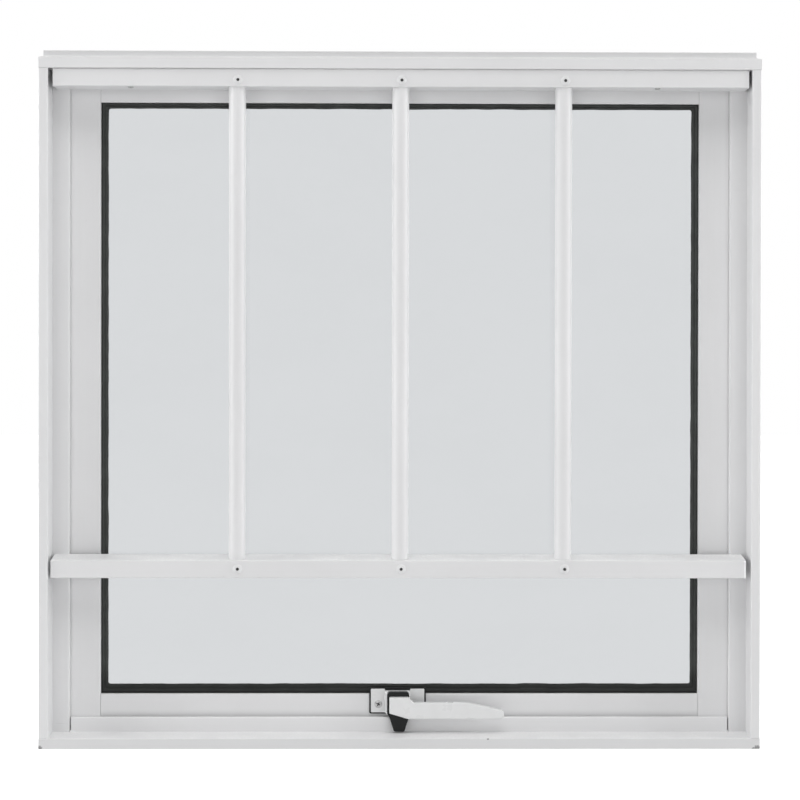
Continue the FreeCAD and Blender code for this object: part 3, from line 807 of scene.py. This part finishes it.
def cut_cross(bm, span, width, depth, face_z):
    """Sinks a cross recess in the level face at face_z."""
    cutter = bmesh.new()
    for size_x, size_y in ((span, width), (width, span)):
        made = bmesh.ops.create_cube(cutter, size=1.0)
        bmesh.ops.scale(cutter, vec=(size_x, size_y, depth * 2), verts=made["verts"])
        low = [v for v in made["verts"] if v.co.z < 0]
        bmesh.ops.scale(cutter, vec=(0.55, 0.55, 1), verts=low)
        bmesh.ops.translate(cutter, vec=(0, 0, face_z), verts=made["verts"])
    blank = add_object(bm.copy(), "screw_head_blank")
    tool = add_object(cutter, "cross_cutter")
    sink = blank.modifiers.new("recess", "BOOLEAN")
    sink.object = tool
    sink.solver = "EXACT"
    sink.use_self = True
    evaluated = blank.evaluated_get(bpy.context.evaluated_depsgraph_get())
    bm.clear()
    bm.from_mesh(evaluated.to_mesh())
    evaluated.to_mesh_clear()
    for each in (blank, tool):
        mesh = each.data
        bpy.data.objects.remove(each)
        bpy.data.meshes.remove(mesh)


def darken_recess(bm, span):
    """Gives a recess's walls and floor the second material, a near-black painted shade."""
    for face in bm.faces:
        middle = face.calc_center_median()
        if math.hypot(middle.x, middle.y) < span * 0.52 and -1.0 * MM < middle.z < 0.1 * MM:
            face.material_index = 1


def rivet_profile(size):
    """A domed rivet head about its mandrel's bore, from the underside to the bore's floor."""
    radius = size.rivet_head / 2
    bore = size.rivet_bore / 2
    rise = size.rivet_rise
    return [
        (0, -0.3 * MM),
        (radius * 0.9, -0.3 * MM),
        (radius, -0.05 * MM),
        (radius, 0.16 * MM),
        (radius * 0.93, 0.42 * rise),
        (radius * 0.8, 0.72 * rise),
        (radius * 0.62, 0.93 * rise),
        (bore * 1.35, rise),
        (bore * 1.12, 0.96 * rise),
        (bore, 0.78 * rise),
        (bore * 0.94, 0.06 * MM),
        (0, 0.06 * MM),
    ]


def ring_path(share, low, high, corner):
    """A point on an upright rectangle's edge, share 0 to 4, with rounded corners."""
    side = int(share) % 4
    along = (1 - math.cos(math.pi * (share - int(share)))) / 2
    corners = [(low[0], low[1]), (high[0], low[1]), (high[0], high[1]), (low[0], high[1])]
    start, end = corners[side], corners[(side + 1) % 4]
    x = start[0] + (end[0] - start[0]) * along
    z = start[1] + (end[1] - start[1]) * along
    if corner > 0:
        centre_x = min(max(x, low[0] + corner), high[0] - corner)
        centre_z = min(max(z, low[1] + corner), high[1] - corner)
        out_x, out_z = x - centre_x, z - centre_z
        length = math.hypot(out_x, out_z)
        if length > corner:
            x = centre_x + out_x * corner / length
            z = centre_z + out_z * corner / length
    return x, z


def gasket_ring(bm, settings, mirror_about=None):
    """One lip of the gasket all round the pane, with a rolled free edge that wanders."""
    left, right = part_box("gasket_left"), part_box("gasket_right")
    foot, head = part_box("gasket_bottom"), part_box("gasket_top")
    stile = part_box("sash_left_stile")
    rail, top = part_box("sash_bottom_rail"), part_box("sash_top_rail")
    sight_low = (stile[1].x, rail[1].z)
    sight_high = (-stile[1].x, top[0].z)
    free_low = (left[1].x, foot[1].z)
    free_high = (right[0].x, head[0].z)
    front = left[0].y
    profile = [
        (-1.5 * MM, 1.9 * MM, 0.0),
        (-1.5 * MM, 0.12 * MM, 0.0),
        (0.05 * MM, 0.05 * MM, 0.0),
        (0.0, -0.50 * MM, 0.16),
        (0.0, -0.72 * MM, 0.34),
        (0.0, -0.35 * MM, 0.48),
        (0.0, 0.45 * MM, 0.56),
        (0.0, 0.35 * MM, 0.64),
        (0.0, 0.0, 0.78),
        (0.0, 0.45 * MM, 0.92),
        (0.0, 1.1 * MM, 1.0),
        (0.0, 1.9 * MM, 1.0),
    ]
    count = 4 * settings.stations
    bmesh.ops.create_grid(bm, x_segments=count, y_segments=len(profile), size=0.5)
    for vert in bm.verts:
        station = round((vert.co.x + 0.5) * count) % count
        offset, back, share = profile[round((vert.co.y + 0.5) * len(profile)) % len(profile)]
        turn = station / settings.stations
        outer = ring_path(turn, sight_low, sight_high, 0.0)
        inner = ring_path(turn, free_low, free_high, settings.corner_round)
        middle_x = (sight_low[0] + sight_high[0]) / 2
        middle_z = (sight_low[1] + sight_high[1]) / 2
        reach = Vector((inner[0] - outer[0], inner[1] - outer[1]))
        wander = noise.noise(Vector((outer[0], outer[1], 0.37)) / settings.wave_length)
        ripple = noise.noise(Vector((outer[1], outer[0], 9.1)) / (settings.wave_length * 0.3))
        stray = 1 + (wander + 0.4 * ripple) * settings.wave / max(reach.length, 1e-4)
        x = outer[0] + reach.x * share * (stray if share > 0.5 else 1.0)
        z = outer[1] + reach.y * share * (stray if share > 0.5 else 1.0)
        if offset:
            at_side = abs(abs(x) - sight_high[0]) < 1e-6
            x += math.copysign(offset, middle_x - x) if at_side else 0
            at_edge = min(abs(z - sight_low[1]), abs(z - sight_high[1])) < 1e-6
            z += math.copysign(offset, middle_z - z) if at_edge else 0
        y = front + back + 0.12 * MM * ripple * share
        if mirror_about is not None:
            y = 2 * mirror_about - y
        vert.co = (x, y, z)


class WINDOW_OT_frame_members(bpy.types.Operator):
    """Powder coat on the fixed frame's four members"""

    bl_idname = "window.frame_members"
    bl_label = "Frame Members"

    def execute(self, context):
        finish = context.scene.window_finish
        sill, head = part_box("sill"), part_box("header")
        spots = []
        for end, inset, height, radius in DARK_SPOTS:
            x = sill[0].x + inset if end == "left" else sill[1].x - inset
            spots.append(((x, sill[0].y, height), radius))
        # The jambs' seals run from the top of the sill's lip to the foot of the header's.
        lip_foot, lip_head = (corner.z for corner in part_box("seal_left"))
        sill_coat = powder_coat(
            "frame_coat_sill",
            "X",
            rgba(finish.paint_colour, SILL_PALER)[:3],
            finish,
            spots=spots,
            # Painted shade darkens the sill below the top of its lip.
            fade=(lip_foot + 0.3 * MM, lip_foot - 0.8 * MM, 0.48),
        )
        dress(["sill"], sill_coat)
        head_coat = powder_coat(
            "frame_coat_header",
            "X",
            finish.paint_colour,
            finish,
            joints=[("Z", lip_head)],
            joint_tone=0.1,
            # Painted shade on the header's fin, darker towards its top.
            fade=(head[1].z - FIN_SHADE_DEPTH, head[1].z + FIN_SHADE_END, 0.5),
        )
        dress(["header"], head_coat)
        upright = powder_coat(
            "frame_coat_jambs",
            "Z",
            finish.paint_colour,
            finish,
            joints=[("Z", lip_foot), ("Z", lip_head)],
        )
        dress(FRAME_UPRIGHT, upright)
        return {"FINISHED"}


class WINDOW_OT_sash_members(bpy.types.Operator):
    """Powder coat on the sash"""

    bl_idname = "window.sash_members"
    bl_label = "Sash Members"

    def execute(self, context):
        finish = context.scene.window_finish
        sight = abs(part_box("sash_left_stile")[1].x)
        joints = [("X", -sight), ("X", sight)]
        colour = finish.paint_colour
        sill_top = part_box("sill")[1].z
        foot_shade = (sill_top + FOOT_SHADE, sill_top - 0.8 * MM, 1.0)
        for name, fade in (("sash_top_rail", None), ("sash_bottom_rail", foot_shade)):
            coat = powder_coat(f"{name}_coat", "X", colour, finish, joints=joints, fade=fade)
            dress([name], coat)
        dress(SASH_UPRIGHT, powder_coat("sash_coat_stiles", "Z", colour, finish))
        return {"FINISHED"}


class WINDOW_OT_grille_members(bpy.types.Operator):
    """Powder coat on the grille's rails and bars, with pale bands at the lower rail's ends"""

    bl_idname = "window.grille_members"
    bl_label = "Grille"

    def execute(self, context):
        finish = context.scene.window_finish
        # The rails carry more dust and painted light from above on their top faces.
        dress(
            ["grille_head_rail"],
            powder_coat("grille_coat_head_rail", "X", finish.paint_colour, finish, dust_and_top_light=1.0),
        )
        low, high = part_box("grille_lower_rail")
        lower = powder_coat(
            "grille_coat_lower_rail",
            "X",
            finish.paint_colour,
            finish,
            pale_end_bands=(low.x, high.x),
            dust_and_top_light=1.0,
        )
        dress(["grille_lower_rail"], lower)
        dress(GRILLE_BARS, powder_coat("grille_coat_bars", "Z", finish.paint_colour, finish))
        return {"FINISHED"}


class WINDOW_OT_glazing(bpy.types.Operator):
    """The pane's glass and the two lips of its black gasket"""

    bl_idname = "window.glazing"
    bl_label = "Glazing"

    def execute(self, context):
        finish = context.scene.window_finish
        dress(["glass_pane"], float_glass(finish))
        low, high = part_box("glass_pane")
        black = rubber(
            "black_gasket_rubber",
            finish.rubber_colour,
            (0.085, 0.090, 0.087),
            0.4,
            0.55,
            dark_foot=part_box("gasket_bottom")[1].z,
        )
        bm = bmesh.new()
        gasket_ring(bm, context.scene.window_gasket)
        room_lip = put(bm, "gasket_lip_room", black, smooth=60.0)
        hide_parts(*GASKETS)
        bm = bmesh.new()
        gasket_ring(bm, context.scene.window_gasket, mirror_about=(low.y + high.y) / 2)
        put(bm, "gasket_lip_outdoors", black, smooth=60.0)
        return {"FINISHED"}


class WINDOW_OT_seals(bpy.types.Operator):
    """Grey rubber on the weather seal round the sash"""

    bl_idname = "window.seals"
    bl_label = "Weather Seals"

    def execute(self, context):
        finish = context.scene.window_finish
        dress(SEALS, rubber("grey_weather_seal", finish.seal_colour, (0.2, 0.2, 0.2), 0.6, 0.6))
        return {"FINISHED"}


class WINDOW_OT_stays(bpy.types.Operator):
    """Brushed steel on the two stays"""

    bl_idname = "window.stays"
    bl_label = "Stays"

    def execute(self, context):
        finish = context.scene.window_finish
        steel = brushed_steel("stay_brushed_steel", finish.steel_colour, (1, 1, 0.02), 0.3)
        dress(STAYS, steel)
        return {"FINISHED"}


class WINDOW_OT_handle(bpy.types.Operator):
    """Finishes of the lever, its plate, the nylon catch and the pin"""

    bl_idname = "window.handle"
    bl_label = "Handle"

    def execute(self, context):
        finish = context.scene.window_finish
        dress(["handle_base", "handle_lever"], cast_coat("handle_cast_coat", finish))
        dress(["handle_underlay", "handle_catch"], moulded_nylon(finish))
        steel = brushed_steel("pin_turned_steel", finish.steel_colour, (1, 0.05, 1), 0.28)
        dress(["handle_pin"], steel)
        return {"FINISHED"}


class WINDOW_OT_rivets(bpy.types.Operator):
    """Blind rivets that hold the bars in the grille's rails"""

    bl_idname = "window.rivets"
    bl_label = "Rivets"

    def execute(self, context):
        finish = context.scene.window_finish
        size = context.scene.window_fasteners
        coat = powder_coat("rivet_coat", "X", rgba(finish.paint_colour, 0.97)[:3], finish)
        # The bore's near-black tone is painted shade in the mandrel's hole.
        bore = zinc_plate("rivet_mandrel_steel", 0.07)
        levels = (size.head_rivet_level, size.lower_rivet_level)
        for rail_name, rise in zip(GRILLE_RAILS, levels):
            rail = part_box(rail_name)
            level = rail[0].z + rise
            for bar_name in GRILLE_BARS:
                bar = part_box(bar_name)
                x = (bar[0].x + bar[1].x) / 2 + size.rivet_shift
                bm = bmesh.new()
                turned(bm, rivet_profile(size))
                inside = size.rivet_bore / 2 * 1.06
                for face in bm.faces:
                    middle = face.calc_center_median()
                    hidden = middle.z < -0.2 * MM
                    if math.hypot(middle.x, middle.y) < inside and not hidden:
                        face.material_index = 1
                name = f"rivet_{rail_name.split('_')[1]}_{bar_name.split('_')[-1]}"
                matrix = facing_room((x, rail[0].y, level))
                put(bm, name, [coat, bore], matrix)
        return {"FINISHED"}


class WINDOW_OT_screws(bpy.types.Operator):
    """Cross recessed screws in the handle's plate and under the grille's head rail"""

    bl_idname = "window.screws"
    bl_label = "Screws"

    def execute(self, context):
        size = context.scene.window_fasteners
        # The second zinc is near black: painted shade in the screws' cross recesses.
        zinc = [zinc_plate("screw_zinc_plate", 0.52), zinc_plate("screw_recess_zinc", 0.05)]
        radius = size.screw_head / 2
        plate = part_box("handle_base")
        centre_x = (plate[0].x + plate[1].x) / 2
        face_y = plate[1].y - size.handle_plate
        for side, rise, name in (
            (-1, size.left_screw_rise, "left"),
            (1, size.right_screw_rise, "right"),
        ):
            bm = bmesh.new()
            turned(
                bm,
                [
                    (0, -1.5 * MM),
                    (radius - 1.55 * MM, -1.5 * MM),
                    (radius - 0.12 * MM, -0.12 * MM),
                    (radius - 0.12 * MM, 0.02 * MM),
                    (radius * 0.7, 0.16 * MM),
                    (0, 0.22 * MM),
                ],
            )
            cut_cross(bm, size.recess_span, CROSS_WIDTH, CROSS_DEPTH, 0.2 * MM)
            darken_recess(bm, size.recess_span)
            point = (centre_x + side * size.handle_screw_x, face_y, plate[0].z + rise)
            turn = Matrix.Rotation(math.radians(SCREW_TURN * side), 4, "Z")
            put(bm, f"handle_screw_{name}", zinc, facing_room(point) @ turn)
        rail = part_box("grille_head_rail")
        radius = size.rail_screw_head / 2
        for x, name in ((size.rail_screw_left, "left"), (size.rail_screw_right, "right")):
            bm = bmesh.new()
            turned(
                bm,
                [
                    (0, -0.2 * MM),
                    (radius * 0.96, -0.2 * MM),
                    (radius, 0.05 * MM),
                    (radius, 0.5 * MM),
                    (radius * 0.86, 0.9 * MM),
                    (radius * 0.5, 1.15 * MM),
                    (0, 1.25 * MM),
                ],
            )
            cut_cross(bm, size.rail_screw_head * 0.55, 0.7 * MM, 0.6 * MM, 1.2 * MM)
            point = (x, rail[0].y + RAIL_SCREW_SETBACK, rail[0].z)
            put(bm, f"rail_screw_{name}", zinc, facing_down(point))
        return {"FINISHED"}


# Stage


def white_floor(strength):
    """A glowing floor, white to the camera, that keeps the window's shadow."""
    material, tree, shader, place = new_material("pale_floor")
    tree.nodes.remove(shader)
    matt = tree.nodes.new("ShaderNodeBsdfDiffuse")
    cloud = noise_value(tree, place, 3.0, 3.0)
    tree.links.new(
        mixed(tree, ramp(tree, cloud, 0.3, 0.7), grey(0.82), grey(0.80)),
        matt.inputs["Color"],
    )
    glow = tree.nodes.new("ShaderNodeEmission")
    to_camera = times(tree, any_ray(tree, "Is Camera Ray"), FLOOR_WHITE)
    to_window = times(tree, any_ray(tree, "Is Diffuse Ray"), strength)
    tree.links.new(math_node(tree, "MAXIMUM", to_camera, to_window), glow.inputs["Strength"])
    seen = tree.nodes.new("ShaderNodeAddShader")
    tree.links.new(matt.outputs["BSDF"], seen.inputs[0])
    tree.links.new(glow.outputs["Emission"], seen.inputs[1])
    plain = tree.nodes.new("ShaderNodeEmission")
    through = any_ray(tree, "Is Glossy Ray", "Is Transmission Ray")
    blend = tree.nodes.new("ShaderNodeMixShader")
    tree.links.new(through, blend.inputs["Fac"])
    tree.links.new(seen.outputs["Shader"], blend.inputs[1])
    tree.links.new(plain.outputs["Emission"], blend.inputs[2])
    tree.links.new(blend.outputs["Shader"], tree.nodes["Material Output"].inputs["Surface"])
    return material


def white_world(strength):
    """Even light from all round, which the camera, gloss and glass see as white."""
    world = bpy.data.worlds.new("studio_white")
    world.use_nodes = True
    tree = world.node_tree
    background = tree.nodes["Background"]
    background.inputs["Color"].default_value = (1, 1, 1, 1)
    seen = any_ray(tree, "Is Camera Ray", "Is Glossy Ray", "Is Transmission Ray")
    level = ramp(tree, seen, 0.0, 1.0, strength, 1.0)
    tree.links.new(level, background.inputs["Strength"])
    return world


def add_lamp(name, place, width, height, power):
    """A soft rectangular lamp that faces the window."""
    lamp = bpy.data.lights.new(name, "AREA")
    lamp.shape = "RECTANGLE"
    lamp.size = width
    lamp.size_y = height
    lamp.energy = power
    holder = bpy.data.objects.new(name, lamp)
    aim = Vector(LAMP_TARGET) - Vector(place)
    holder.location = place
    holder.rotation_euler = aim.to_track_quat("-Z", "Y").to_euler()
    bpy.context.scene.collection.objects.link(holder)


class WINDOW_OT_stage(bpy.types.Operator):
    """The camera, the white floor and the studio light"""

    bl_idname = "window.stage"
    bl_label = "Stage"

    def execute(self, context):
        stage = context.scene.window_stage
        bm = bmesh.new()
        bmesh.ops.create_grid(bm, x_segments=8, y_segments=8, size=stage.floor_size / 2)
        bmesh.ops.translate(bm, vec=(0, 0, -FLOOR_DROP), verts=bm.verts)
        floor = add_object(bm, "studio_floor")
        floor.data.materials.append(white_floor(stage.floor_glow))
        context.scene.world = white_world(stage.world_light)
        for name, place, width, height, power in LAMPS:
            add_lamp(name, place, width, height, getattr(stage, power))
        context.scene.view_settings.view_transform = "Standard"
        camera = bpy.data.cameras.new("photo_camera")
        camera.lens = stage.lens
        camera.sensor_width = 36.0
        camera.shift_x = stage.shift_across
        camera.shift_y = stage.shift
        camera.clip_end = 60.0
        holder = bpy.data.objects.new("photo_camera", camera)
        room_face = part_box("sill")[0].y
        holder.location = (
            stage.camera_side,
            room_face - stage.camera_distance,
            stage.camera_height,
        )
        turns = (90 - stage.tilt, -stage.roll, -stage.turn)
        holder.rotation_euler = [math.radians(angle) for angle in turns]
        context.scene.collection.objects.link(holder)
        context.scene.camera = holder
        return {"FINISHED"}


class WINDOW_PT_sidebar(bpy.types.Panel):
    """Lists the window's settings and pieces in the sidebar"""

    bl_idname = "WINDOW_PT_sidebar"
    bl_label = "Awning Window"
    bl_space_type = "VIEW_3D"
    bl_region_type = "UI"
    bl_category = "Window"

    def draw(self, context):
        for heading, group in GROUPS.items():
            settings = getattr(context.scene, heading)
            box = self.layout.box()
            for name in group.__annotations__:
                box.prop(settings, name)
        for operator in OPERATORS:
            self.layout.operator(operator.bl_idname)


GROUPS = {
    "window_finish": WINDOW_PG_finish,
    "window_gasket": WINDOW_PG_gasket,
    "window_fasteners": WINDOW_PG_fasteners,
    "window_stage": WINDOW_PG_stage,
}
OPERATORS = [
    WINDOW_OT_frame_members,
    WINDOW_OT_sash_members,
    WINDOW_OT_grille_members,
    WINDOW_OT_glazing,
    WINDOW_OT_seals,
    WINDOW_OT_stays,
    WINDOW_OT_handle,
    WINDOW_OT_rivets,
    WINDOW_OT_screws,
    WINDOW_OT_stage,
]
CLASSES = [*GROUPS.values(), *OPERATORS, WINDOW_PT_sidebar]


def register():
    for cls in CLASSES:
        bpy.utils.register_class(cls)
    for heading, group in GROUPS.items():
        setattr(bpy.types.Scene, heading, bpy.props.PointerProperty(type=group))


def unregister():
    for heading in GROUPS:
        delattr(bpy.types.Scene, heading)
    for cls in reversed(CLASSES):
        bpy.utils.unregister_class(cls)


def main():
    register()
    bpy.ops.window.frame_members()
    bpy.ops.window.sash_members()
    bpy.ops.window.grille_members()
    bpy.ops.window.glazing()
    bpy.ops.window.seals()
    bpy.ops.window.stays()
    bpy.ops.window.handle()
    bpy.ops.window.rivets()
    bpy.ops.window.screws()
    bpy.ops.window.stage()


if __name__ == "__main__":
    main()
